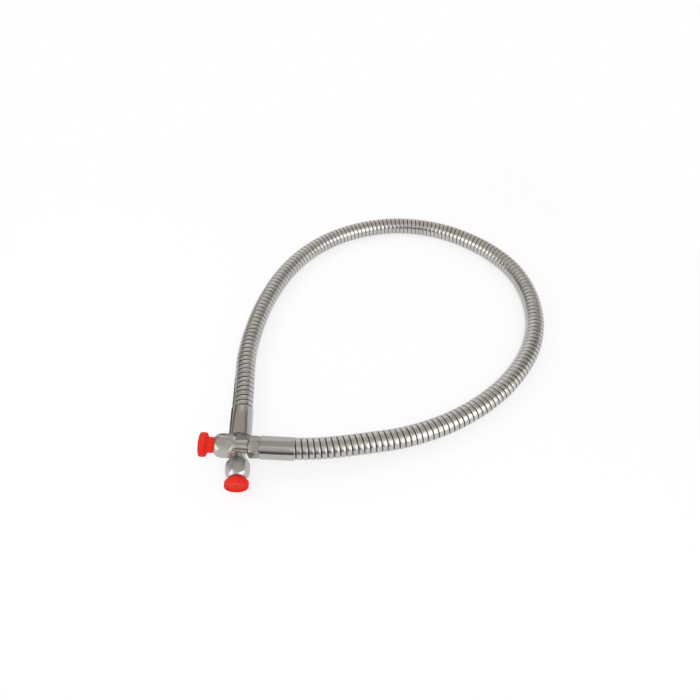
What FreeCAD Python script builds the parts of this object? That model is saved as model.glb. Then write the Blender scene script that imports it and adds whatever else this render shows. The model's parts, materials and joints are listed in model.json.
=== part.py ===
"""Armoured gas hose with a swivel flare nut and a dust plug on each end.

Millimetres, +Z up. The hose lies on the surface Z = 0 in one open loop. End A lies over
end B, and the origin is on that surface, under the middle of the two end fittings.

An end fitting is built once, upright, as turned and milled pieces: its local +Z runs
along the bore from the mouth of the armour ferrule (station 0) out to the dust plug.
"""
import FreeCAD
import Part
import math
import os
from FreeCAD import Placement, Rotation, Vector

# ---- hose ----------------------------------------------------------------------------
ARMOUR_R = 10.0             # outside of the strip-wound armour
ARMOUR_BORE_R = 8.7
HOSE_R = 7.6                # outside of the inner gas hose
HOSE_BORE_R = 4.75
ARMOUR_INSERT = 16.0        # length of armour inside each ferrule
HOSE_INSERT = 20.5          # length of inner hose inside each ferrule

# ---- stations along an end fitting, from the ferrule's mouth ---------------------------
SOCKET_BACK = 3.0
TAIL_BACK = 4.0
BARBS = (7.0, 11.0, 15.0)   # crests of the barbs on the tail
ARMOUR_STOP = 16.5          # shoulder in the ferrule that the armour butts against
SOCKET_END = 22.0
SPIGOT_BACK = 22.6
NECK_BACK = 26.7            # where the neck's tube bottoms in the collar
FERRULE_LEN = 29.7
HEX_BACK = 31.2             # the groove lies between the ferrule and the hexagon
HEX_SHOULDER = 39.3         # where the hexagon starts to taper to the neck
HEX_FRONT = 41.8
NUT_BACK = 52.2
NUT_HEX_BACK = 54.5
NUT_SHOULDER = 55.2         # inner face that bears on the flare sleeve
SLEEVE_HEAD_END = 56.6
NOSE_TIP = 61.4
THREAD_BACK = 61.8          # the thread's relief lies behind this station
NUT_FRONT = 70.4

# ---- cross sections --------------------------------------------------------------------
FERRULE_R = 10.55
FERRULE_BORE_R = 10.05
SPIGOT_R = 8.75
GROOVE_R = 8.6
COLLAR_AF = 17.46           # 11/16 in across flats
NUT_AF = 19.05              # 3/4 in across flats
NUT_BOSS_R = 8.7
THREAD_R = 7.2              # minor radius of the 5/8-18 thread
RELIEF_R = 7.4
NUT_HOLE_R = 6.85
SOCKET_R = 8.45
SOCKET_BORE_R = 7.65
NECK_R = 6.0
NECK_BORE_R = 4.4
TAIL_R = 4.35
BARB_R = 4.72
TAIL_BORE_R = 3.2
FLARE_R = 6.9
SLEEVE_BORE_R = 6.06
SLEEVE_R = 6.79
SLEEVE_HEAD_R = 7.1

# ---- dust plug ---------------------------------------------------------------------------
FLANGE_R = 10.85
FLANGE_THICK = 6.4
FLANGE_ROUND = 1.3          # front edge
FLANGE_BACK_ROUND = 2.0
STUB_LEN = 10.0             # from the flange's back to the stub's open end
STUB_R = 7.1
STUB_TIP_R = 6.8
STUB_BORE_R = 5.4
STUB_EXPOSED = {"a": 6.8, "b": 2.1}     # stub showing between the nut and the flange
QUARTER = 1 - math.sqrt(0.5)            # rise of a quarter circle off its chord, per radius

# ---- how the two ends lie ----------------------------------------------------------------
SLIDING = ("flare_sleeve", "swivel_nut", "dust_plug")
NUT_SLIDE = {"a": 0.0, "b": 1.2}        # how far they have slid out along the neck
END_B_HEIGHT = 11.2                     # clears the corners of nut B as it turns
CROSSING_RISE = 18.5                    # height of axis A over axis B where they cross
CROSSING_A = 52.7                       # station of the crossing along end A
CROSSING_B = 49.2
END_A_TILT = math.radians(6.0)          # end A rises towards its plug
END_B_TURN = math.radians(3.8)          # end B turns off -Y towards +X
NUT_ROLL = -16.0
COLLAR_ROLL = -27.0

# ---- route of the hose between the ends --------------------------------------------------
# The first two and last two points lie on the axes of the ends, ROUTE_LEAD out of each
# ferrule. The rest of the loop is free.
ROUTE_LEAD = {"a": 14.0, "b": 30.0}
LOOP = [
    (99, -1, 18),
    (150, 9.5, 13.3),
    (205, 34, 10.8),
    (256, 74, 10),
    (293, 128, 10),
    (305, 190, 10),
    (293, 251, 10),
    (252, 301, 10),
    (195, 332, 10),
    (130, 335, 10),
    (65, 308, 10),
    (18, 257, 10),
    (-9, 190, 10),
    (-20, 120, 10.2),
]
ARC_SHARE = 0.45            # share of the shorter run that an arc may use


# ---- shared operations ---------------------------------------------------------------------
def turned(outline):
    """A solid of revolution about Z from a closed list of (radius, station) corners.

    A corner with a third value is the middle of an arc between its two neighbours.
    """
    points = [Vector(corner[0], 0, corner[1]) for corner in outline + outline[:1]]
    arcs = [len(corner) == 3 for corner in outline + outline[:1]]
    edges = []
    for i, point in enumerate(points[:-1]):
        if arcs[i]:
            edges.append(Part.Arc(points[i - 1], point, points[i + 1]).toShape())
        elif not arcs[i + 1]:
            edges.append(Part.LineSegment(point, points[i + 1]).toShape())
    return Part.Face(Part.Wire(edges)).revolve(Vector(0, 0, 0), Vector(0, 0, 1), 360)


def domed(start, end):
    """Outline corners of an arc from start to end whose centre is on the axis."""
    middle = (start[1] + end[1]) / 2
    centre = middle + (end[0] ** 2 - start[0] ** 2) / (2 * (end[1] - start[1]))
    radius = math.hypot(start[0], start[1] - centre)
    angles = [math.atan2(corner[0], corner[1] - centre) for corner in (start, end)]
    half_way = sum(angles) / 2
    top = (radius * math.sin(half_way), centre + radius * math.cos(half_way), "arc")
    return [start, top, end]


def bowed(start, end, rise):
    """Outline corners of an arc that stands `rise` off the chord from start to end."""
    across, along = end[0] - start[0], end[1] - start[1]
    share = rise / math.hypot(across, along)
    middle = ((start[0] + end[0]) / 2 + share * along, (start[1] + end[1]) / 2 - share * across)
    return [start, (*middle, "arc"), end]


def tube(outer, inner, start, end):
    """A plain ring between two stations."""
    return turned([(inner, start), (outer, start), (outer, end), (inner, end)])


def hexagon(across_flats, start, end, roll):
    """A hexagonal bar, one flat facing local +X before it is rolled."""
    corner = across_flats / math.sqrt(3)
    angles = [math.radians(30 + roll + 60 * side) for side in range(6)]
    points = [Vector(corner * math.cos(a), corner * math.sin(a), start) for a in angles]
    face = Part.Face(Part.makePolygon(points + points[:1]))
    return face.extrude(Vector(0, 0, end - start))


# ---- pieces of an end fitting ----------------------------------------------------------------
def armour_ferrule():
    """Polished sleeve over the end of the armour, stepped inside to stop it."""
    edge = 0.35
    return turned([
        (FERRULE_BORE_R, 0),
        (FERRULE_R - edge, 0),
        (FERRULE_R, edge),
        (FERRULE_R, FERRULE_LEN - edge),
        (FERRULE_R - edge, FERRULE_LEN),
        (SPIGOT_R, FERRULE_LEN),
        (SPIGOT_R, ARMOUR_STOP),
        (FERRULE_BORE_R, ARMOUR_STOP),
    ])


def hose_tail():
    """Barbed tail, spigot and hexagon collar, machined from one bar."""
    profile = [(TAIL_BORE_R, TAIL_BACK), (TAIL_R - 0.4, TAIL_BACK)]
    for station in BARBS:
        profile += [(BARB_R, station), (TAIL_R, station + 0.4)]
    profile += [
        (TAIL_R, HOSE_INSERT + 0.3),
        (NECK_R, HOSE_INSERT + 0.3),
        (NECK_R, SPIGOT_BACK),
        (SPIGOT_R, SPIGOT_BACK),
        (SPIGOT_R, FERRULE_LEN),
        (GROOVE_R, FERRULE_LEN),
        (GROOVE_R, HEX_BACK + 0.5),
        (NECK_R, HEX_BACK + 0.5),
        (NECK_R, NECK_BACK),
        (TAIL_BORE_R, NECK_BACK),
    ]
    corner = COLLAR_AF / math.sqrt(3) + 0.1
    blank = turned([
        (NECK_R, HEX_BACK),
        *domed((corner - 1.0, HEX_BACK), (corner, HEX_BACK + 1.4)),
        *domed((corner, HEX_SHOULDER), (NECK_R + 0.3, HEX_FRONT)),
        (NECK_R, HEX_FRONT),
    ])
    collar = hexagon(COLLAR_AF, HEX_BACK, HEX_FRONT, COLLAR_ROLL).common(blank)
    return turned(profile).fuse(collar).removeSplitter()


def crimp_socket():
    """Ring crimped over the inner hose, with its end wall round the tail."""
    groove_depth, groove_len, pitch = 0.35, 2.4, 5.0
    outline = [(SOCKET_BORE_R, SOCKET_BACK), (SOCKET_R, SOCKET_BACK)]
    for index in range(3):
        start = SOCKET_BACK + 2.2 + index * pitch
        outline += [
            (SOCKET_R, start),
            (SOCKET_R - groove_depth, start + 0.5),
            (SOCKET_R - groove_depth, start + groove_len),
            (SOCKET_R, start + groove_len + 0.5),
        ]
    outline += [
        (SOCKET_R, SOCKET_END),
        (NECK_R + 0.02, SOCKET_END),
        (NECK_R + 0.02, HOSE_INSERT + 0.4),
        (SOCKET_BORE_R, HOSE_INSERT + 0.4),
    ]
    return turned(outline)


def flared_neck():
    """Tube brazed into the collar, with a 45 degree flare as its sealing nose."""
    lip = 0.5
    land = 0.3
    front = NOSE_TIP - (FLARE_R - NECK_BORE_R - lip)
    back = front - land - (FLARE_R - NECK_R)
    return turned([
        (NECK_BORE_R, NECK_BACK),
        (NECK_R, NECK_BACK),
        (NECK_R, back),
        (FLARE_R, front - land),
        (FLARE_R, front),
        (NECK_BORE_R + lip, NOSE_TIP),
        (NECK_BORE_R, NOSE_TIP),
    ])


def flare_sleeve():
    """Headed bush on the neck: the nut turns on it and pushes it at the flare."""
    return turned([
        (SLEEVE_BORE_R, NUT_BACK + 0.4),
        (SLEEVE_R - 0.3, NUT_BACK + 0.4),
        (SLEEVE_R, NUT_BACK + 0.7),
        (SLEEVE_R, NUT_SHOULDER + 0.05),
        (SLEEVE_HEAD_R, NUT_SHOULDER + 0.05),
        (SLEEVE_HEAD_R, SLEEVE_HEAD_END),
        (SLEEVE_BORE_R + 0.6, SLEEVE_HEAD_END),
        (SLEEVE_BORE_R, SLEEVE_HEAD_END - 0.6),
    ])


def swivel_nut():
    """Long hexagon nut, its corners turned down at both ends, with a round rear boss."""
    corner = NUT_AF / math.sqrt(3) + 0.1
    blank = turned([
        (NUT_HOLE_R, NUT_BACK),
        (NUT_BOSS_R - 0.4, NUT_BACK),
        (NUT_BOSS_R, NUT_BACK + 0.4),
        (NUT_BOSS_R, NUT_HEX_BACK),
        *domed((corner - 1.3, NUT_HEX_BACK), (corner, NUT_HEX_BACK + 2.2)),
        *domed((corner, NUT_FRONT - 5.4), (corner - 3.1, NUT_FRONT)),
        (THREAD_R + 0.6, NUT_FRONT),
        (THREAD_R, NUT_FRONT - 0.6),
        (THREAD_R, THREAD_BACK),
        (RELIEF_R, THREAD_BACK - 0.2),
        (RELIEF_R, NUT_SHOULDER),
        (NUT_HOLE_R, NUT_SHOULDER),
    ])
    boss = tube(NUT_BOSS_R + 0.1, 0, NUT_BACK, NUT_HEX_BACK)
    bar = hexagon(NUT_AF, NUT_HEX_BACK, NUT_FRONT, NUT_ROLL)
    return blank.common(bar.fuse(boss)).removeSplitter()


def dust_plug(exposed):
    """Push-in plug: a hollow tapered stub under a thick round-edged flange."""
    back = NUT_FRONT + exposed
    front = back + FLANGE_THICK
    end = back - STUB_LEN
    full, eased = FLANGE_R, FLANGE_R - FLANGE_ROUND
    back_eased = FLANGE_R - FLANGE_BACK_ROUND
    rim = eased - 1.7
    floor = front - 0.9         # of the shallow recess in the flange's face
    root = 1.2                  # bevel between the stub and the flange
    return turned([
        (0, back + 2.5),
        (STUB_BORE_R, back + 2.5),
        (STUB_BORE_R, end),
        (STUB_TIP_R, end),
        (STUB_R, back - root),
        (STUB_R + root, back),
        *bowed((back_eased, back), (full, back + FLANGE_BACK_ROUND), QUARTER * FLANGE_BACK_ROUND),
        *bowed((full, front - FLANGE_ROUND), (eased, front), QUARTER * FLANGE_ROUND),
        (rim, front),
        (rim - 0.5, floor),
        (1.1, floor),
        (0, floor - 0.5),
    ])


def end_fitting(end):
    """All pieces of one end, upright, by the name of their node."""
    return {
        "armour_ferrule": armour_ferrule(),
        "crimp_socket": crimp_socket(),
        "hose_tail": hose_tail(),
        "flared_neck": flared_neck(),
        "flare_sleeve": flare_sleeve(),
        "swivel_nut": swivel_nut(),
        "dust_plug": dust_plug(STUB_EXPOSED[end]),
    }


# ---- where the ends lie ----------------------------------------------------------------------
def axis(end):
    """Direction of an end's bore, out towards its plug."""
    if end == "a":
        return Vector(-math.cos(END_A_TILT), 0, math.sin(END_A_TILT))
    return Vector(math.sin(END_B_TURN), -math.cos(END_B_TURN), 0)


def crossing():
    """Point of axis B under the crossing, set so that the origin is in mid-plan."""
    length_a = NUT_FRONT + STUB_EXPOSED["a"] + FLANGE_THICK
    length_b = NUT_FRONT + STUB_EXPOSED["b"] + FLANGE_THICK + NUT_SLIDE["b"]
    tilt, turn = END_A_TILT, END_B_TURN
    right = CROSSING_A * math.cos(tilt) + FERRULE_R * math.sin(tilt)
    left = (length_a - CROSSING_A) * math.cos(tilt) + FLANGE_R * math.sin(tilt)
    far = CROSSING_B * math.cos(turn) + FERRULE_R * math.sin(turn)
    near = (length_b - CROSSING_B) * math.cos(turn) + FLANGE_R * math.sin(turn)
    return Vector((left - right) / 2, (near - far) / 2, END_B_HEIGHT)


def mouth(end):
    """Centre of an end's ferrule mouth."""
    if end == "a":
        return crossing() + Vector(0, 0, CROSSING_RISE) - axis("a") * CROSSING_A
    return crossing() - axis("b") * CROSSING_B


def laid(shape, end, slide=0.0):
    """Move an upright piece to its place in the laid-out hose, slid out along the bore."""
    bore = axis(end)
    up = Vector(0, 0, 1)
    side = (up - bore * up.dot(bore)).normalize()
    turn = Rotation(side, bore.cross(side), bore, "ZXY")
    placed = shape.copy()
    placed.Placement = Placement(mouth(end) + bore * slide, turn)
    return placed


# ---- hose layers -------------------------------------------------------------------------------
def route(insert):
    """Corners of the hose's path, starting and ending `insert` inside the ferrules."""
    points = [mouth("a") + axis("a") * insert, mouth("a") - axis("a") * ROUTE_LEAD["a"]]
    points += [Vector(*corner) for corner in LOOP]
    points += [mouth("b") - axis("b") * ROUTE_LEAD["b"], mouth("b") + axis("b") * insert]
    return points


def arc_at(before, corner, after):
    """Tangent arc that rounds one corner: its start, middle, end and radius."""
    to_before, to_after = (before - corner), (after - corner)
    shorter = min(to_before.Length, to_after.Length)
    to_before.normalize()
    to_after.normalize()
    half_turn = (math.pi - to_before.getAngle(to_after)) / 2
    reach = ARC_SHARE * shorter
    radius = reach / math.tan(half_turn)
    bisector = (to_before + to_after).normalize()
    middle = corner + bisector * (radius / math.cos(half_turn) - radius)
    return corner + to_before * reach, middle, corner + to_after * reach, radius


def path(insert):
    """Straight runs joined by tangent arcs, and the arcs' radii."""
    points = route(insert)
    edges, radii = [], []
    here = points[0]
    for before, corner, after in zip(points, points[1:], points[2:]):
        start, middle, end, radius = arc_at(before, corner, after)
        edges.append(Part.LineSegment(here, start).toShape())
        edges.append(Part.Arc(start, middle, end).toShape())
        radii.append(radius)
        here = end
    edges.append(Part.LineSegment(here, points[-1]).toShape())
    return Part.Wire(edges), radii


def layer(outer, inner, insert):
    """One layer of the hose: a tube along the route."""
    wire, _ = path(insert)
    start = route(insert)[0]
    rings = [Part.Wire(Part.makeCircle(r, start, axis("a"))) for r in (outer, inner)]
    solids = [wire.makePipeShell([ring], True, False) for ring in rings]
    return solids[0].cut(solids[1])


def hose():
    """The layers of the hose, from outside to inside."""
    return {
        "hose_armour": layer(ARMOUR_R, ARMOUR_BORE_R, ARMOUR_INSERT),
        "inner_hose": layer(HOSE_R, HOSE_BORE_R, HOSE_INSERT),
    }


# ---- build ---------------------------------------------------------------------------------------
os.makedirs("parts", exist_ok=True)
nodes = hose()
for name in ("a", "b"):
    for piece, shape in end_fitting(name).items():
        slid = NUT_SLIDE[name] if piece in SLIDING else 0.0
        nodes[f"end_{name}_{piece}"] = laid(shape, name, slid)
for node, shape in nodes.items():
    shape.exportStep(f"parts/{node}.step")

centre_line, arc_radii = path(ARMOUR_INSERT)
section = math.pi * (ARMOUR_R ** 2 - ARMOUR_BORE_R ** 2)
print("arc radii:", " ".join(f"{radius:.0f}" for radius in arc_radii))
print(f"armour length {centre_line.Length:.1f}, between the ferrules "
      f"{centre_line.Length - 2 * ARMOUR_INSERT:.1f}")
print(f"armour volume {nodes['hose_armour'].Volume:.0f}, section times length "
      f"{section * centre_line.Length:.0f}")
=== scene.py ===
"""Looks of the armoured gas hose: steel, rubber and plastic over the pieces of the frame.

The hose and the studio are in metres. Each end fitting is modelled upright, in millimetre
stations along its bore from the mouth of the armour ferrule, and then laid along its end of
the hose. The armour's radii and pitch are in millimetres too.
"""
import json
import math

import bpy
import numpy as np
from mathutils import Matrix, Vector


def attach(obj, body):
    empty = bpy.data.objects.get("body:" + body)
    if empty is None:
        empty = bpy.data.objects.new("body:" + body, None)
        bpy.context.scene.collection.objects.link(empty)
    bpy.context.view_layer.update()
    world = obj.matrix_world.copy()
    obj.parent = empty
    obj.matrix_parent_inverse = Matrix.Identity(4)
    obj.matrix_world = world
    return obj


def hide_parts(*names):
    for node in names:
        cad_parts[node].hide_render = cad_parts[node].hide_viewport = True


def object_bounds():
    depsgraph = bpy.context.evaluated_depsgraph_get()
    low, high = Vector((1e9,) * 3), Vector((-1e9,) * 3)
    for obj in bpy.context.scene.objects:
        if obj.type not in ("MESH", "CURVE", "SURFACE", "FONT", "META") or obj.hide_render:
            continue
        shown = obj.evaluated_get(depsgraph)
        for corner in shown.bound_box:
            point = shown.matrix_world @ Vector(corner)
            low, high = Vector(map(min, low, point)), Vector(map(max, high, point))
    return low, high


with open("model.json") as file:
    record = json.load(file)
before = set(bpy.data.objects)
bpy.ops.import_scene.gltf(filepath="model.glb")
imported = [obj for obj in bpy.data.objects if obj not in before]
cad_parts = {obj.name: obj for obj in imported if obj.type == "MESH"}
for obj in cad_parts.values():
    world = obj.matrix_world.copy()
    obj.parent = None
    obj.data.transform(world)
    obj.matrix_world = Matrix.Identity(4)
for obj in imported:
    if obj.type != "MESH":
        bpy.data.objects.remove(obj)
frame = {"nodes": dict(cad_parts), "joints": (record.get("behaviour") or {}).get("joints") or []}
cad_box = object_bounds()

MM = 0.001

# ---- stations and radii of an end fitting, in millimetres --------------------------------
SOCKET_BACK = 3.0
TAIL_BACK = 4.0
ARMOUR_STOP = 16.5
TAIL_STEP = 20.8            # the barbed tail steps up to the radius of the neck
SOCKET_FRONT = 22.0
SPIGOT_BACK = 22.6
NECK_BACK = 26.7            # foot of the neck in its counterbore
GROOVE_BACK = 30.4          # the ferrule ends and the groove before the collar begins
HEX_BACK = 31.2
HEX_SHOULDER = 39.3
HEX_FRONT = 41.8
NUT_BACK = 52.2
NUT_HEX_BACK = 54.5
NUT_SHOULDER = 55.2
SLEEVE_HEAD_END = 56.6
NOSE_TIP = 61.4
THREAD_BACK = 61.8
NUT_FRONT = 70.4

FERRULE_R = 10.55
FERRULE_BORE_R = 10.05
SPIGOT_R = 8.75
GROOVE_R = 9.5
NECK_R = 6.0
NECK_BORE_R = 4.4
COLLAR_AF = 17.46
NUT_AF = 19.05
NUT_BOSS_R = 8.7
NUT_HOLE_R = 6.85
THREAD_MINOR_R = 7.2
THREAD_MAJOR_R = 7.94
THREAD_PITCH = 1.411        # 18 turns to the inch
NUT_ROLL = -16.0            # degrees from a flat that faces up
COLLAR_ROLL = -27.0

STUB_BORE_R = 5.4
STUB_TIP_R = 6.8
STUB_FOOT_R = 7.1
FLANGE_R = 10.85
FLANGE_THICK = 6.4
FLANGE_ROUND = 1.3          # front edge
FLANGE_BACK_ROUND = 2.0
STUB_LEN = 10.0
STUB_EXPOSED = {"a": 6.8, "b": 2.1}
NUT_SLIDE = {"a": 0.0, "b": 1.2}        # how far a nut and its sleeve have slid out

ROUND_STEPS = 96            # sides of a turned piece
ARC_STEPS = 8
CENTRE = 0.0004             # radius of a ring that is closed to a point
MERGE = 0.002               # points nearer than this are one
OVERSHOOT = 1.0             # how far a hexagon bar reaches past the piece that it cuts
BLANK_SPARE = 0.1           # a turned blank's radius over the hexagon's corners
BAR_EASE = 0.22             # rounding of a hexagon bar's long edges
SHARP_ANGLE = math.radians(30)          # edges sharper than this are eased
ROUND_ANGLE = math.radians(32)          # faces flatter than this are shaded as one

# ---- the hose ----------------------------------------------------------------------------
ROUTE = [
    (0.02568, -0.00912, 0.02586),
    (0.05551, -0.00912, 0.02273),
    (0.099, -0.001, 0.018),
    (0.150, 0.0095, 0.0133),
    (0.205, 0.034, 0.0108),
    (0.256, 0.074, 0.010),
    (0.293, 0.128, 0.010),
    (0.305, 0.190, 0.010),
    (0.293, 0.251, 0.010),
    (0.252, 0.301, 0.010),
    (0.195, 0.332, 0.010),
    (0.130, 0.335, 0.010),
    (0.065, 0.308, 0.010),
    (0.018, 0.257, 0.010),
    (-0.009, 0.190, 0.010),
    (-0.020, 0.120, 0.0102),
    (-0.01607, 0.06991, 0.01120),
    (-0.01303, 0.02401, 0.01120),
]
ROUTE_STEPS = 40            # places on the line between two corners of the route
ARMOUR_R = 10.0
ARMOUR_BORE_R = 8.7
STRIP_PITCH = 5.5           # one turn of the strip along the hose
SEAM_WIDTH = 0.75           # gap between one turn and the next on a straight hose
SEAM_R = 8.95               # floor of that gap
SEAM_WALL = 0.06            # share of the gap that each of its walls slopes over
BAND_LIMITS = (0.75, 0.95)  # share of a turn that the strip covers, inside and outside a bend
TURN_STEPS = 40             # points of a turn
ARMOUR_ROUND_ANGLE = math.radians(38)

# One turn of the strip: distance across its band from 0 to 1, radius, and share of painted seam
# shade.
BAND = [
    (0.0, 9.55, 0.9), (0.05, 9.84, 0.0), (0.18, 9.94, 0.0), (0.40, 9.995, 0.0),
    (0.60, 9.995, 0.0), (0.82, 9.94, 0.0), (0.95, 9.84, 0.0), (1.0, 9.55, 0.9),
]

# ---- studio ------------------------------------------------------------------------------
FLOOR_SIZE = 12
FLOOR_WHITE = 0.93
FLOOR_PLAIN = 0.72          # share of plain white in the floor round the hose
FLOOR_FADE = (0.3, 0.6)     # the floor goes over to all white between these distances
SKY_LIGHT = 0.80            # light of the surround on what it lights
LAMP_SIZE = 0.6
CARD_REACH = 1.6            # distance of the bent cards from the axis that they stand round
CARD_AXIS_X = 0.1
CARD_STEPS = 24
CAMERA_PLACE = (0.0910, -0.2275, 0.42979)
CAMERA_TILT = 39.4          # degrees up from looking straight down
CAMERA_LENS = 25.971        # millimetres, on a sensor 36 wide
CAMERA_SENSOR = 36

WHITE = (1, 1, 1)
WARM_WHITE = (1, 0.98, 0.95)
CREAM = (1, 0.95, 0.88)
DEEP_CREAM = (1, 0.93, 0.86)

# Lamps: name, place, target and power.
LAMPS = [
    ("key", (0.25, -0.5, 1.15), (0.1, 0.05, 0), 4.0),
    ("side", (-0.9, 0.3, 0.9), (0.1, 0.1, 0), 3.0),
]
# Bent cards: name, azimuths from the front, elevations, both in degrees, brightness and tint.
BENT_CARDS = [
    ("front_flag", (-38, 24), (-2, 22), 0.10, CREAM),
    ("front_veil", (-38, 24), (22, 36), 0.45, CREAM),
    ("high_veil", (-38, 24), (36, 66), 0.80, WARM_WHITE),
    ("left_box", (-82, -38), (6, 46), 2.3, WARM_WHITE),
    ("right_box", (24, 82), (6, 46), 2.3, WARM_WHITE),
    ("right_flag", (104, 146), (14, 42), 0.34, CREAM),
    ("left_flag", (-150, -98), (-6, 24), 0.25, CREAM),
]
# Flat cards: name, two opposite corners, brightness and tint.
PANELS = [
    # floor_flag is a dim card on the floor beside end B: mirrors show it as painted shade on the
    # floor there.
    ("floor_flag", (-0.13, 0.0, 0.0006), (-0.029, 0.09, 0.0006), 0.12, WHITE),
    ("ceiling", (-2.4, -0.38, 1.5), (2.6, 3.4, 1.5), 0.62, DEEP_CREAM),
    ("back_light", (-0.5, 1.2, 0.0), (0.35, 1.2, 1.3), 0.95, WHITE),
]


# ---- small helpers -----------------------------------------------------------------------
def lay_frame(end):
    """Matrix that lays an upright fitting along one end of the hose."""
    joint = next(j for j in frame["joints"] if j["name"] == f"end_{end}_nut_spin")
    bore = Vector(joint["axis"]).normalized()
    side = (Vector((0, 0, 1)) - bore * bore.z).normalized()
    mouth = Vector(joint["pos_m"]) - bore * (NUT_SHOULDER + NUT_SLIDE[end]) * MM
    turn = Matrix((side, bore.cross(side), bore)).transposed()
    return Matrix.Translation(mouth) @ turn.to_4x4()


def new_piece(name, points, faces):
    """A mesh object from points in metres."""
    mesh = bpy.data.meshes.new(name)
    mesh.from_pydata(points, [], faces)
    mesh.validate()
    piece = bpy.data.objects.new(name, mesh)
    bpy.context.scene.collection.objects.link(piece)
    return piece


def take_up(piece):
    """Make a piece the only one that operators act on."""
    bpy.ops.object.select_all(action="DESELECT")
    piece.select_set(True)
    bpy.context.view_layer.objects.active = piece


# ---- modelling helpers -------------------------------------------------------------------
def arc(start, end, centre):
    """Corners of a turned outline along an arc, both ends included."""
    across, along = centre
    first, last = (math.atan2(corner[1] - along, corner[0] - across) for corner in (start, end))
    radius = math.dist(start, centre)
    turns = [first + (last - first) * step / ARC_STEPS for step in range(ARC_STEPS + 1)]
    return [(across + radius * math.cos(turn), along + radius * math.sin(turn)) for turn in turns]


def domed(start, end):
    """Corners of a turned outline along an arc whose centre is on the axis."""
    middle = (start[1] + end[1]) / 2
    shift = (end[0] ** 2 - start[0] ** 2) / (2 * (end[1] - start[1]))
    return arc(start, end, (0, middle + shift))


def tidy_up(piece):
    """Merge doubles and point the faces outwards."""
    take_up(piece)
    bpy.ops.object.mode_set(mode="EDIT")
    bpy.ops.mesh.select_all(action="SELECT")
    bpy.ops.mesh.remove_doubles(threshold=MERGE * MM)
    bpy.ops.mesh.normals_make_consistent(inside=False)
    bpy.ops.object.mode_set(mode="OBJECT")


def lathe(name, outline, ring=True):
    """A turned piece: a circle extruded from corner to corner of its outline.

    The outline is (radius, station) corners in millimetres. It closes on itself, or with
    ring=False it starts and ends on the axis.
    """
    bpy.ops.object.select_all(action="DESELECT")
    radius, station = outline[0]
    bpy.ops.mesh.primitive_circle_add(
        vertices=ROUND_STEPS, radius=radius * MM, location=(0, 0, station * MM),
    )
    piece = bpy.context.active_object
    piece.name = name
    bpy.ops.object.transform_apply(location=True)
    bpy.ops.object.mode_set(mode="EDIT")
    bpy.ops.mesh.select_all(action="SELECT")
    for next_radius, next_station in outline[1:] + (outline[:1] if ring else []):
        rise = (0, 0, (next_station - station) * MM)
        bpy.ops.mesh.extrude_region_move(TRANSFORM_OT_translate={"value": rise})
        wider = next_radius / radius
        bpy.ops.transform.resize(value=(wider, wider, 1), center_override=(0, 0, next_station * MM))
        radius, station = next_radius, next_station
    bpy.ops.object.mode_set(mode="OBJECT")
    tidy_up(piece)
    return piece


def apply_modifier(piece, kind, **settings):
    """Add a modifier to a piece and apply it."""
    take_up(piece)
    made = piece.modifiers.new(kind.lower(), kind)
    for key, value in settings.items():
        setattr(made, key, value)
    bpy.ops.object.modifier_apply(modifier=made.name)


def cut(piece, tool, operation):
    """Combine a piece with a tool, which is used up."""
    apply_modifier(piece, "BOOLEAN", object=tool, operation=operation, solver="EXACT")
    bpy.data.objects.remove(tool)
    tidy_up(piece)


def hexagon_bar(across_flats, start, end, roll):
    """A hexagonal bar between two stations, rolled round the bore by a number of degrees."""
    bpy.ops.object.select_all(action="DESELECT")
    bpy.ops.mesh.primitive_cylinder_add(
        vertices=6, radius=across_flats / math.sqrt(3) * MM, depth=(end - start) * MM,
        location=(0, 0, (start + end) / 2 * MM), rotation=(0, 0, math.radians(roll)),
    )
    bar = bpy.context.active_object
    bpy.ops.object.transform_apply(location=True, rotation=True)
    # Its six long edges are never quite sharp.
    bpy.ops.object.mode_set(mode="EDIT")
    bpy.ops.mesh.select_all(action="DESELECT")
    bpy.ops.object.mode_set(mode="OBJECT")
    for edge in bar.data.edges:
        ends = [bar.data.vertices[index].co for index in edge.vertices]
        edge.select = abs(ends[0].z - ends[1].z) > MERGE * MM
    bpy.ops.object.mode_set(mode="EDIT")
    bpy.ops.mesh.select_mode(type="EDGE")
    bpy.ops.mesh.bevel(offset=BAR_EASE * MM, segments=3, affect="EDGES")
    bpy.ops.object.mode_set(mode="OBJECT")
    return bar


def ease(piece, width, segments=2):
    """Round the sharp edges of a piece, in millimetres, and shade what is round as round."""
    apply_modifier(piece, "BEVEL", width=width * MM, segments=segments, limit_method="ANGLE",
                   angle_limit=SHARP_ANGLE, harden_normals=False)
    tidy_up(piece)
    bpy.ops.object.shade_smooth_by_angle(angle=ROUND_ANGLE)


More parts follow.
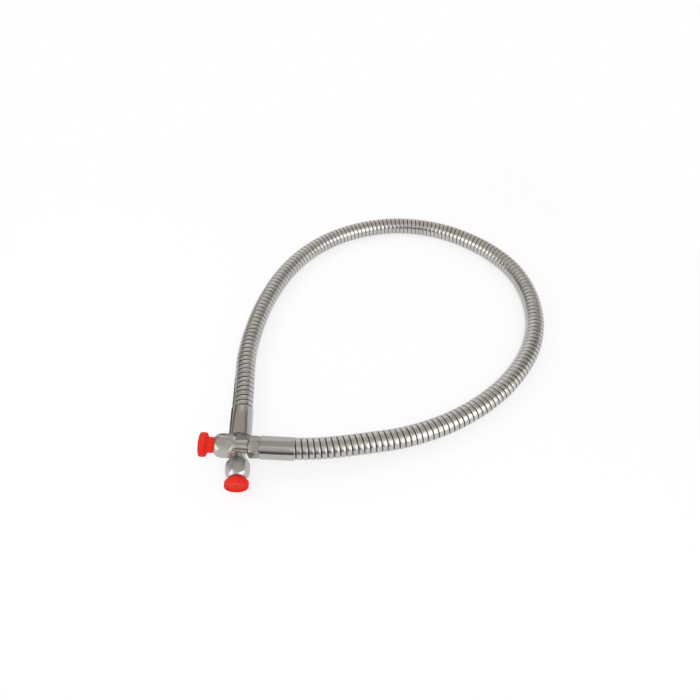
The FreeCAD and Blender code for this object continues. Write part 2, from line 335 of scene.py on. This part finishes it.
# ---- materials ---------------------------------------------------------------------------
class Finish:
    """A material's node tree, with short calls to add nodes to it."""

    def __init__(self, name):
        self.material = bpy.data.materials.new(name)
        self.material.use_nodes = True
        self.tree = self.material.node_tree
        self.shader = self.tree.nodes["Principled BSDF"]

    def add(self, kind, settings=None, **inputs):
        """A node with plain settings and inputs, where an input may be another's output."""
        made = self.tree.nodes.new("ShaderNode" + kind)
        for key, value in (settings or {}).items():
            setattr(made, key, value)
        for key, value in inputs.items():
            self.feed(made, key, value)
        return made

    def feed(self, made, key, value):
        """Set one input, named as in Blender with _ for spaces, or numbered as in_2."""
        if key.startswith("in_"):
            socket = made.inputs[int(key[3:])]
        else:
            socket = made.inputs[key.replace("_", " ")]
        if isinstance(value, bpy.types.NodeSocket):
            self.tree.links.new(value, socket)
        else:
            socket.default_value = value

    def shade(self, **inputs):
        """Set inputs of the material's main shader."""
        for key, value in inputs.items():
            self.feed(self.shader, key, value)

    def ramp(self, value, *stops):
        """Colour ramp over (place, colour) stops."""
        made = self.add("ValToRGB", Fac=value)
        elements = made.color_ramp.elements
        while len(elements) < len(stops):
            elements.new(0.5)
        for element, (place, colour) in zip(elements, stops):
            element.position = place
            element.color = (*colour, 1)
        return made.outputs["Color"]

    def span(self, value, low, high):
        """A value from 0 to 1 spread over low to high."""
        return self.add("MapRange", Value=value, To_Min=low, To_Max=high).outputs[0]


def grey(level, warmth=0.0):
    """A grey that warmth pulls towards yellow."""
    return (level, level * (1 - 0.35 * warmth), level * (1 - warmth))


# Turned steels: darkest and lightest tone, least and most roughness, fineness of the rings.
TURNED_STEELS = {
    "polished_steel": (grey(0.41, 0.08), grey(0.47, 0.06), 0.12, 0.22, 9000.0),
    "satin_steel": (grey(0.40, 0.08), grey(0.48, 0.06), 0.20, 0.30, 6000.0),
    # Painted shade: the hose tail and its collar are the same satin steel, given darker tones.
    "collar_steel": (grey(0.30, 0.08), grey(0.37, 0.06), 0.22, 0.32, 6000.0),
    "nut_steel": (grey(0.44, 0.05), grey(0.52, 0.03), 0.26, 0.36, 4000.0),
    "plain_steel": (grey(0.30, 0.08), grey(0.42, 0.05), 0.35, 0.5, 5000.0),
}


def strip_steel():
    """Rolled stainless strip: fine streaks along each turn, and painted shade in the seams between
    turns.
    """
    finish = Finish("strip_steel")
    strip = finish.add("Attribute", {"attribute_name": "strip"}).outputs["Vector"]
    seam = finish.add("Attribute", {"attribute_name": "seam"}).outputs["Fac"]
    stretch = finish.add("Mapping", Vector=strip, Scale=(60, 4200, 1)).outputs[0]
    streaks = finish.add("TexNoise", Vector=stretch, Scale=1.0, Detail=3.0).outputs["Fac"]
    place = finish.add("TexCoord").outputs["Object"]
    clouds = finish.add("TexNoise", Vector=place, Scale=55.0, Detail=2.0).outputs["Fac"]
    tone = finish.add("Mix", {"data_type": "FLOAT"}, Factor=0.5, in_2=streaks, in_3=clouds)
    colour = finish.ramp(tone.outputs[0], (0.3, grey(0.46, 0.07)), (0.7, grey(0.60, 0.05)))
    # Painted shade: the seams are mixed towards near black, standing in for the shade in the gaps
    # between turns.
    dark = finish.add(
        "Mix", {"data_type": "RGBA"}, Factor=seam, in_6=colour, in_7=(*grey(0.08, 0.08), 1),
    )
    bump = finish.add("Bump", Height=streaks, Strength=0.25, Distance=0.00008)
    finish.shade(
        Base_Color=dark.outputs["Result"],
        Metallic=1.0,
        Roughness=finish.span(streaks, 0.18, 0.34),
        Normal=bump.outputs[0],
    )
    return finish.material


def turned_steel(name, end, dark, light, smooth, rough, rings):
    """Machined steel with fine lathe rings round the bore of one end."""
    finish = Finish(f"{name}_{end}")
    laid = lay_frame(end)
    place = finish.add("TexCoord").outputs["Object"]
    local = finish.add(
        "Mapping", {"vector_type": "TEXTURE"},
        Vector=place, Location=laid.to_translation(), Rotation=laid.to_euler(),
    ).outputs[0]
    parts = finish.add("SeparateXYZ", Vector=local).outputs
    flat = finish.add("CombineXYZ", X=parts["X"], Y=parts["Y"]).outputs[0]
    radius = finish.add("VectorMath", {"operation": "LENGTH"}, in_0=flat).outputs["Value"]
    tracks = finish.add("CombineXYZ", X=radius, Z=parts["Z"]).outputs[0]
    cuts = finish.add("TexNoise", Vector=tracks, Scale=rings, Detail=2.0).outputs["Fac"]
    clouds = finish.add("TexNoise", Vector=place, Scale=180.0, Detail=4.0).outputs["Fac"]
    tone = finish.add("Mix", {"data_type": "FLOAT"}, Factor=0.4, in_2=cuts, in_3=clouds)
    bump = finish.add("Bump", Height=cuts, Strength=0.1, Distance=0.00005)
    finish.shade(
        Base_Color=finish.ramp(tone.outputs[0], (0.3, dark), (0.7, light)),
        Metallic=1.0,
        Roughness=finish.span(tone.outputs[0], smooth, rough),
        Normal=bump.outputs[0],
    )
    return finish.material


def red_plastic():
    """Soft moulded polyethylene, slightly waxy, with a faint uneven sheen."""
    finish = Finish("red_plastic")
    place = finish.add("TexCoord").outputs["Object"]
    clouds = finish.add("TexNoise", Vector=place, Scale=120.0, Detail=3.0).outputs["Fac"]
    grain = finish.add("TexNoise", Vector=place, Scale=2600.0, Detail=2.0).outputs["Fac"]
    bump = finish.add("Bump", Height=grain, Strength=0.08, Distance=0.00005)
    finish.shade(
        Base_Color=finish.ramp(clouds, (0.3, (0.72, 0.027, 0.016)), (0.7, (0.78, 0.033, 0.020))),
        Roughness=finish.span(clouds, 0.24, 0.34),
        Specular_IOR_Level=0.04,
        Subsurface_Weight=0.12,
        Subsurface_Radius=(0.9, 0.12, 0.06),
        Subsurface_Scale=0.002,
        Normal=bump.outputs[0],
    )
    return finish.material


def black_rubber():
    """Nitrile rubber with a fine cloth-wrapped surface."""
    finish = Finish("black_rubber")
    place = finish.add("TexCoord").outputs["Object"]
    weave = finish.add("TexNoise", Vector=place, Scale=900.0, Detail=3.0).outputs["Fac"]
    bump = finish.add("Bump", Height=weave, Strength=0.3, Distance=0.0001)
    finish.shade(
        Base_Color=finish.ramp(weave, (0.3, grey(0.012)), (0.7, grey(0.028))),
        Roughness=finish.span(weave, 0.55, 0.75),
        Normal=bump.outputs[0],
    )
    return finish.material


def coat(piece, material):
    """Give a piece one material all over."""
    piece.data.materials.clear()
    piece.data.materials.append(material)


# ---- armour ------------------------------------------------------------------------------
def smooth_line(corners):
    """Places along the NURBS curve that has the route's corners as its control points."""
    curve = bpy.data.curves.new("route", "CURVE")
    curve.dimensions = "3D"
    curve.resolution_u = ROUTE_STEPS
    spline = curve.splines.new("NURBS")
    spline.points.add(len(corners) - 1)
    for point, corner in zip(spline.points, corners):
        point.co = (*corner, 1.0)
    spline.order_u = 3
    spline.use_endpoint_u = True
    carrier = bpy.data.objects.new("route", curve)
    mesh = bpy.data.meshes.new_from_object(carrier)
    places = np.array([vertex.co for vertex in mesh.vertices])
    bpy.data.objects.remove(carrier)
    bpy.data.meshes.remove(mesh)
    return places


class Line:
    """A smooth line through space that can be read at any distance along it."""

    def __init__(self, places):
        self.places = places
        steps = np.linalg.norm(np.diff(places, axis=0), axis=1)
        self.along = np.concatenate([[0], np.cumsum(steps)])
        self.length = self.along[-1]
        self.heading = self.unit(np.gradient(places, self.along, axis=0))
        normals = [self.first_normal()]
        for here in self.heading[1:]:
            carried = normals[-1] - here * (normals[-1] @ here)
            normals.append(carried / np.linalg.norm(carried))
        self.normal = np.array(normals)
        self.bend = np.gradient(self.heading, self.along, axis=0)

    @staticmethod
    def unit(rows):
        """Every row of a table at length 1."""
        return rows / np.linalg.norm(rows, axis=1, keepdims=True)

    def first_normal(self):
        """Upward direction at the line's start, square to it."""
        up = np.array([0.0, 0.0, 1.0])
        side = up - self.heading[0] * (up @ self.heading[0])
        return side / np.linalg.norm(side)

    def read(self, table, distance):
        """Rows of a table along the line, at the given distances."""
        return np.stack([np.interp(distance, self.along, table[:, i]) for i in range(3)], 1)

    def around(self, distance, angle, radius):
        """Points at angles and one radius round the line, and their directions from it."""
        heading = self.unit(self.read(self.heading, distance))
        normal = self.unit(self.read(self.normal, distance))
        other = np.cross(heading, normal)
        out = normal * np.cos(angle)[:, None] + other * np.sin(angle)[:, None]
        return self.read(self.places, distance) + out * radius, out

    def stretch(self, distance, out, radius):
        """Length at a radius over length on the line, which grows on the outside of a bend."""
        return 1 - radius * np.sum(self.read(self.bend, distance) * out, axis=1)


def strip_faces(steps, count):
    """Faces of the helix, whose every step has one ring corner in each of its columns.

    The last column is the bore. The outside runs on from turn to turn, and a flat face closes
    each end of the strip.
    """
    inner = count - 1
    last_turn = steps - TURN_STEPS

    def at(step, column):
        return step * count + column

    faces = []
    for here in range(steps - 1):
        for column in range(inner - 1):
            faces.append((at(here, column), at(here + 1, column),
                          at(here + 1, column + 1), at(here, column + 1)))
    for here in range(last_turn - 1):
        after = here + TURN_STEPS
        faces.append((at(here, inner - 1), at(here + 1, inner - 1), at(after + 1, 0), at(after, 0)))
        faces.append((at(here, inner), at(after, inner), at(after + 1, inner), at(here + 1, inner)))
    for here in range(TURN_STEPS):
        faces.append((at(here, 0), at(here, inner), at(here + 1, inner), at(here + 1, 0)))
        far = last_turn - 1 + here
        faces.append((at(far, inner - 1), at(far + 1, inner - 1),
                      at(far + 1, inner), at(far, inner)))
    near_end = [at(0, column) for column in range(inner)]
    faces.append((at(TURN_STEPS, 0), at(TURN_STEPS, inner), at(0, inner), *near_end))
    far_end = [at(steps - 1, column) for column in range(inner)]
    faces.append((at(last_turn - 1, inner), at(steps - 1, inner), *reversed(far_end),
                  at(last_turn - 1, inner - 1)))
    return faces


def armour():
    """The strip-wound armour: one helical surface along the hose, closed by a plain bore."""
    line = Line(smooth_line(ROUTE))
    turns = round(line.length / (STRIP_PITCH * MM))
    pitch = line.length / turns
    steps = (turns - 1) * TURN_STEPS + 1
    step = np.arange(steps)
    angle = step * (2 * math.pi / TURN_STEPS)
    start = step * (pitch / TURN_STEPS)
    _, out = line.around(start + pitch / 2, angle, ARMOUR_R * MM)
    stretch = line.stretch(start + pitch / 2, out, ARMOUR_R * MM)
    band = np.clip((1 - SEAM_WIDTH * MM / pitch) / stretch, *BAND_LIMITS)
    wall = SEAM_WALL * (1 - band)
    # Each corner's third number is its share of painted seam shade; the floor of the gap gets all
    # of it.
    profile = [(band * share, radius, seam) for share, radius, seam in BAND]
    profile += [(band + wall, SEAM_R, 1.0), (1 - wall, SEAM_R, 1.0)]
    columns, strips, seam_shades = [], [], []
    for share, radius, seam in profile:
        points, _ = line.around(start + pitch * share, angle, radius * MM)
        columns.append(points)
        strips.append(np.stack([angle * ARMOUR_R * MM, pitch * share, 0 * angle], 1))
        seam_shades.append(seam)
    bore, _ = line.around(start, angle, ARMOUR_BORE_R * MM)
    columns.append(bore)
    strips.append(np.zeros((steps, 3)))
    seam_shades.append(1.0)
    points = np.stack(columns, 1).reshape(-1, 3)
    piece = new_piece("strip_wound_armour", points, strip_faces(steps, len(columns)))
    strip = piece.data.attributes.new("strip", "FLOAT_VECTOR", "POINT")
    strip.data.foreach_set("vector", np.stack(strips, 1).ravel().astype(np.float32))
    seam = piece.data.attributes.new("seam", "FLOAT", "POINT")
    seam.data.foreach_set("value", np.tile(seam_shades, steps).astype(np.float32))
    take_up(piece)
    bpy.ops.object.mode_set(mode="EDIT")
    bpy.ops.mesh.select_all(action="SELECT")
    bpy.ops.mesh.normals_make_consistent(inside=False)
    bpy.ops.object.mode_set(mode="OBJECT")
    bpy.ops.object.shade_smooth_by_angle(angle=ARMOUR_ROUND_ANGLE)
    coat(piece, strip_steel())
    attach(piece, "hose")
    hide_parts("hose_armour")


# ---- pieces of an end fitting, upright ---------------------------------------------------
def armour_ferrule():
    """Thin polished sleeve, stepped inside to stop the armour."""
    piece = lathe("armour_ferrule", [
        (FERRULE_BORE_R, 0),
        (FERRULE_R, 0),
        (FERRULE_R, GROOVE_BACK),
        (SPIGOT_R, GROOVE_BACK),
        (SPIGOT_R, ARMOUR_STOP),
        (FERRULE_BORE_R, ARMOUR_STOP),
    ])
    ease(piece, width=0.2, segments=3)
    return piece


def hose_tail():
    """Barbed tail, spigot and hexagon collar from one bar."""
    bore, barb, root, barb_step = 3.2, 4.72, 4.35, 0.4
    groove_start, groove_end = GROOVE_BACK + 0.02, HEX_BACK + 0.5
    outline = [(bore, TAIL_BACK), (root - barb_step, TAIL_BACK)]
    for station in (7, 11, 15):
        outline += [(barb, station), (root, station + barb_step)]
    outline += [
        (root, TAIL_STEP),
        (NECK_R, TAIL_STEP),
        (NECK_R, SPIGOT_BACK),
        (SPIGOT_R, SPIGOT_BACK),
        (SPIGOT_R, groove_start),
        (GROOVE_R, groove_start),
        (GROOVE_R, groove_end),
        (NECK_R, groove_end),
        (NECK_R, NECK_BACK),
        (bore, NECK_BACK),
    ]
    piece = lathe("hose_tail", outline)
    corner, back_fall, back_run = COLLAR_AF / math.sqrt(3) + BLANK_SPARE, 1.0, 1.4
    collar = lathe("collar", [
        (NECK_R, HEX_BACK),
        *domed((corner - back_fall, HEX_BACK), (corner, HEX_BACK + back_run)),
        *domed((corner, HEX_SHOULDER), (NECK_R + 0.3, HEX_FRONT)),
        (NECK_R, HEX_FRONT),
    ])
    bar = hexagon_bar(COLLAR_AF, HEX_BACK - OVERSHOOT, HEX_FRONT + OVERSHOOT, COLLAR_ROLL)
    cut(collar, bar, "INTERSECT")
    cut(piece, collar, "UNION")
    # The union's smallest faces clamp this easing to a few microns. The corners it leaves
    # lie up to 0.002 mm apart from one run to the next.
    ease(piece, width=0.1)
    return piece


def crimp_socket():
    """Ring crimped in three bands over the inner hose."""
    outside, inside, hole, dent = 8.45, 7.65, NECK_R + 0.02, 8.10
    slope, band = 0.5, 2.9
    web_back = TAIL_STEP + 0.1
    outline = [(inside, SOCKET_BACK), (outside, SOCKET_BACK)]
    for start in (5.2, 10.2, 15.2):
        outline += [
            (outside, start),
            (dent, start + slope),
            (dent, start + band - slope),
            (outside, start + band),
        ]
    outline += [
        (outside, SOCKET_FRONT),
        (hole, SOCKET_FRONT),
        (hole, web_back),
        (inside, web_back),
    ]
    piece = lathe("crimp_socket", outline)
    ease(piece, width=0.12)
    return piece


def flared_neck():
    """Bare tube with a 45 degree flare as its sealing nose."""
    lip, land, flare = 0.5, 0.3, 6.9
    front = NOSE_TIP - (flare - NECK_BORE_R - lip)
    piece = lathe("flared_neck", [
        (NECK_BORE_R, NECK_BACK),
        (NECK_R, NECK_BACK),
        (NECK_R, front - land - (flare - NECK_R)),
        (flare, front - land),
        (flare, front),
        (NECK_BORE_R + lip, NOSE_TIP),
        (NECK_BORE_R, NOSE_TIP),
    ])
    ease(piece, width=0.08)
    return piece


def flare_sleeve():
    """Headed bush that the nut turns on."""
    bore, outside, head, bevel = 6.06, 6.79, 7.1, 0.6
    back, head_back = NUT_BACK + 0.4, NUT_SHOULDER + 0.05
    piece = lathe("flare_sleeve", [
        (bore, back),
        (outside, back),
        (outside, head_back),
        (head, head_back),
        (head, SLEEVE_HEAD_END),
        (bore + bevel, SLEEVE_HEAD_END),
        (bore, SLEEVE_HEAD_END - bevel),
    ])
    ease(piece, width=0.12)
    return piece


def thread_ridge():
    """The nut's thread: a V swept in a helix, its foot sunk into the bore's wall."""
    bpy.ops.object.select_all(action="DESELECT")
    bpy.ops.mesh.primitive_circle_add(vertices=4, radius=0.5 * MM, rotation=(math.pi / 2, 0, 0))
    ridge = bpy.context.active_object
    bpy.ops.object.transform_apply(rotation=True)
    foot, half, crest = THREAD_MAJOR_R + 0.1, 0.42 * THREAD_PITCH, 0.08
    first, turns, steps = THREAD_BACK + 0.7, 5, 48
    section = [(foot, -half), (THREAD_MINOR_R, -crest), (THREAD_MINOR_R, crest), (foot, half)]
    for vertex, (radius, height) in zip(ridge.data.vertices, section):
        vertex.co = (radius * MM, 0, (first + height) * MM)
    apply_modifier(ridge, "SCREW", axis="Z", angle=math.tau, screw_offset=THREAD_PITCH * MM,
                   iterations=turns, steps=steps, render_steps=steps, use_smooth_shade=False)
    bpy.ops.object.mode_set(mode="EDIT")
    bpy.ops.mesh.select_all(action="SELECT")
    bpy.ops.mesh.fill_holes(sides=4)
    bpy.ops.object.mode_set(mode="OBJECT")
    tidy_up(ridge)
    return ridge


def swivel_nut():
    """Long hexagon nut, its corners turned down at both ends, with a round rear boss."""
    corner = NUT_AF / math.sqrt(3) + BLANK_SPARE
    chamber, bevel = THREAD_MINOR_R + 0.2, 0.4
    back_fall, back_run, front_fall, front_run = 1.3, 2.2, 3.1, 7.8
    piece = lathe("swivel_nut", [
        (NUT_HOLE_R, NUT_BACK),
        (NUT_BOSS_R - bevel, NUT_BACK),
        (NUT_BOSS_R, NUT_BACK + bevel),
        (NUT_BOSS_R, NUT_HEX_BACK),
        *domed((corner - back_fall, NUT_HEX_BACK), (corner, NUT_HEX_BACK + back_run)),
        *domed((corner, NUT_FRONT - front_run), (corner - front_fall, NUT_FRONT)),
        (THREAD_MAJOR_R, NUT_FRONT),
        (THREAD_MAJOR_R, THREAD_BACK),
        (chamber, THREAD_BACK - bevel),
        (chamber, NUT_SHOULDER),
        (NUT_HOLE_R, NUT_SHOULDER),
    ])
    bar = hexagon_bar(NUT_AF, NUT_BACK - OVERSHOOT, NUT_FRONT + OVERSHOOT, NUT_ROLL)
    cut(piece, bar, "INTERSECT")
    # The smallest faces of the cut clamp this easing to about 0.01 mm.
    ease(piece, width=0.1)
    ridge = thread_ridge()
    take_up(piece)
    ridge.select_set(True)
    bpy.ops.object.join()
    return piece


def dust_plug():
    """Push-in plug: hollow tapered stub, and a thick round-edged flange that starts at 0."""
    front, eased, back_eased = FLANGE_THICK, FLANGE_R - FLANGE_ROUND, FLANGE_R - FLANGE_BACK_ROUND
    hollow_end, root, rim_slope = 2.5, 1.2, 0.5
    rim, recess, dimple, dimple_depth = eased - 0.7, front - 1.5, 1.6, 1.0
    piece = lathe("dust_plug", [
        (CENTRE, hollow_end),
        (STUB_BORE_R, hollow_end),
        (STUB_BORE_R, -STUB_LEN),
        (STUB_TIP_R, -STUB_LEN),
        (STUB_FOOT_R, -root),
        (STUB_FOOT_R + root, 0),
        *arc((back_eased, 0), (FLANGE_R, FLANGE_BACK_ROUND), (back_eased, FLANGE_BACK_ROUND)),
        *arc((FLANGE_R, front - FLANGE_ROUND), (eased, front), (eased, front - FLANGE_ROUND)),
        (rim, front),
        (rim - rim_slope, recess),
        (dimple, recess),
        (CENTRE, recess - dimple_depth),
    ], ring=False)
    ease(piece, width=0.25, segments=3)
    return piece


# ---- light, floor and camera -------------------------------------------------------------
def looked_at(tree):
    """1 where the camera, a mirror or glass looks, 0 where a surface is only lit."""
    rays = tree.nodes.new("ShaderNodeLightPath").outputs
    seen = rays["Is Camera Ray"]
    for kind in ("Is Glossy Ray", "Is Transmission Ray"):
        wider = tree.nodes.new("ShaderNodeMath")
        wider.operation = "MAXIMUM"
        tree.links.new(seen, wider.inputs[0])
        tree.links.new(rays[kind], wider.inputs[1])
        seen = wider.outputs[0]
    return seen


def floor():
    """White floor: it keeps the hose's soft shadow, and goes over to plain white around it."""
    bpy.ops.mesh.primitive_plane_add(size=FLOOR_SIZE, location=(0, 0, 0))
    sheet = bpy.context.active_object
    sheet.name = "floor"
    finish = Finish("white_floor")
    finish.shade(Base_Color=(*grey(FLOOR_WHITE), 1), Roughness=0.9, Specular_IOR_Level=0.0)
    place = finish.add("TexCoord").outputs["Object"]
    middle = (cad_box[0] + cad_box[1]) / 2
    away = finish.add("VectorMath", {"operation": "DISTANCE"}, in_0=place, in_1=(*middle.xy, 0))
    near, far = FLOOR_FADE
    plain = finish.add(
        "MapRange", {"interpolation_type": "SMOOTHSTEP"}, Value=away.outputs["Value"],
        From_Min=near, From_Max=far, To_Min=FLOOR_PLAIN, To_Max=1.0,
    ).outputs[0]
    seen = looked_at(finish.tree)
    share = finish.add("Math", {"operation": "MULTIPLY"}, in_0=plain, in_1=seen).outputs[0]
    glow = finish.add("Emission", Strength=1.0).outputs[0]
    mixed = finish.add("MixShader", Fac=share, in_1=finish.shader.outputs[0], in_2=glow)
    output = finish.tree.nodes["Material Output"]
    finish.tree.links.new(mixed.outputs[0], output.inputs["Surface"])
    coat(sheet, finish.material)


def world_light():
    """White surround: 1 where it is looked at, less where it lights."""
    world = bpy.data.worlds.new("studio")
    bpy.context.scene.world = world
    world.use_nodes = True
    tree = world.node_tree
    level = tree.nodes.new("ShaderNodeMapRange")
    level.inputs["To Min"].default_value = SKY_LIGHT
    tree.links.new(looked_at(tree), level.inputs["Value"])
    tree.links.new(level.outputs[0], tree.nodes["Background"].inputs["Strength"])
    tree.nodes["Background"].inputs["Color"].default_value = (1, 1, 1, 1)


def lamp(name, place, target, power):
    """A soft lamp aimed at a point, which lights but isn't mirrored."""
    light = bpy.data.lights.new(name, "AREA")
    light.shape = "RECTANGLE"
    light.size = light.size_y = LAMP_SIZE
    light.energy = power
    carrier = bpy.data.objects.new(name, light)
    carrier.location = place
    carrier.rotation_euler = (Vector(target) - Vector(place)).to_track_quat("-Z", "Y").to_euler()
    carrier.visible_glossy = False
    bpy.context.scene.collection.objects.link(carrier)


def card(sheet, name, brightness, tint):
    """Make a mesh a studio card that only reflections show."""
    sheet.name = name
    finish = Finish(name)
    glow = finish.add("Emission", Color=(*tint, 1), Strength=brightness)
    output = finish.tree.nodes["Material Output"]
    finish.tree.links.new(glow.outputs[0], output.inputs["Surface"])
    coat(sheet, finish.material)
    for way in ("camera", "diffuse", "shadow", "transmission", "volume_scatter"):
        setattr(sheet, "visible_" + way, False)


def bent_card(name, azimuths, elevations, brightness, tint):
    """A card bent round the object."""
    first, last = azimuths
    heights = [CARD_REACH * math.tan(math.radians(elevation)) for elevation in elevations]
    points, faces = [], []
    for step in range(CARD_STEPS + 1):
        azimuth = math.radians(first + (last - first) * step / CARD_STEPS)
        east, south = CARD_REACH * math.sin(azimuth), CARD_REACH * math.cos(azimuth)
        points += [(CARD_AXIS_X + east, -south, height) for height in heights]
        if step:
            faces.append((2 * step - 2, 2 * step, 2 * step + 1, 2 * step - 1))
    card(new_piece(name, points, faces), name, brightness, tint)


def panel(name, low, high, brightness, tint):
    """A flat card between two corners: level where they are equally high, else upright."""
    low, high = Vector(low), Vector(high)
    across = high - low
    upright = across.z > 0
    tilt = math.pi / 2 if upright else 0
    bpy.ops.mesh.primitive_plane_add(size=1, location=(low + high) / 2, rotation=(tilt, 0, 0))
    sheet = bpy.context.active_object
    sheet.scale = (across.x, across.z if upright else across.y, 1)
    card(sheet, name, brightness, tint)


def camera():
    """The camera, at the viewing angle that the part is shown from."""
    lens = bpy.data.cameras.new("camera")
    lens.lens = CAMERA_LENS
    lens.sensor_width = CAMERA_SENSOR
    carrier = bpy.data.objects.new("camera", lens)
    carrier.location = CAMERA_PLACE
    carrier.rotation_euler = (math.radians(CAMERA_TILT), 0, 0)
    bpy.context.scene.collection.objects.link(carrier)
    bpy.context.scene.camera = carrier


# ---- the whole ---------------------------------------------------------------------------
def lay(piece, end, shift):
    """A copy of an upright piece, shifted outwards and laid along one end of the hose."""
    laid = piece.copy()
    laid.data = piece.data.copy()
    laid.name = laid.data.name = f"{piece.name}_{end}"
    bpy.context.scene.collection.objects.link(laid)
    laid.matrix_world = lay_frame(end) @ Matrix.Translation((0, 0, shift * MM))
    take_up(laid)
    bpy.ops.object.transform_apply(location=True, rotation=True, scale=True)
    return laid


armour()
# The pieces of a fitting: upright model, body that it rides on, slot and finish.
UPRIGHT = {
    "armour_ferrule": (armour_ferrule(), "hose", "polished_steel", "polished_steel"),
    "crimp_socket": (crimp_socket(), "hose", "plain_steel", "plain_steel"),
    # The tail is satin steel; its coating is the darker copy that carries painted shade.
    "hose_tail": (hose_tail(), "hose", "satin_steel", "collar_steel"),
    "flared_neck": (flared_neck(), "hose", "satin_steel", "satin_steel"),
    "flare_sleeve": (flare_sleeve(), "sleeve", "plain_steel", "plain_steel"),
    "swivel_nut": (swivel_nut(), "nut", "nut_steel", "nut_steel"),
    "dust_plug": (dust_plug(), "plug", "red_plastic", "red_plastic"),
}
red = red_plastic()
for end in "ab":
    finishes = {name: turned_steel(name, end, *tones) for name, tones in TURNED_STEELS.items()}
    finishes["red_plastic"] = red
    for node, (upright, body, slot, coating) in UPRIGHT.items():
        shift = 0.0 if body == "hose" else NUT_SLIDE[end]
        if node == "dust_plug":
            shift += NUT_FRONT + STUB_EXPOSED[end]
        laid = lay(upright, end, shift)
        coat(laid, finishes[coating])
        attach(laid, body if body == "hose" else f"end_{end}_{body}")
        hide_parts(f"end_{end}_{node}")
for upright, *_ in UPRIGHT.values():
    bpy.data.objects.remove(upright)
coat(frame["nodes"]["inner_hose"], black_rubber())

floor()
world_light()
for lamp_settings in LAMPS:
    lamp(*lamp_settings)
for card_settings in BENT_CARDS:
    bent_card(*card_settings)
for panel_settings in PANELS:
    panel(*panel_settings)
camera()

scene = bpy.context.scene
scene.view_settings.view_transform = "Standard"
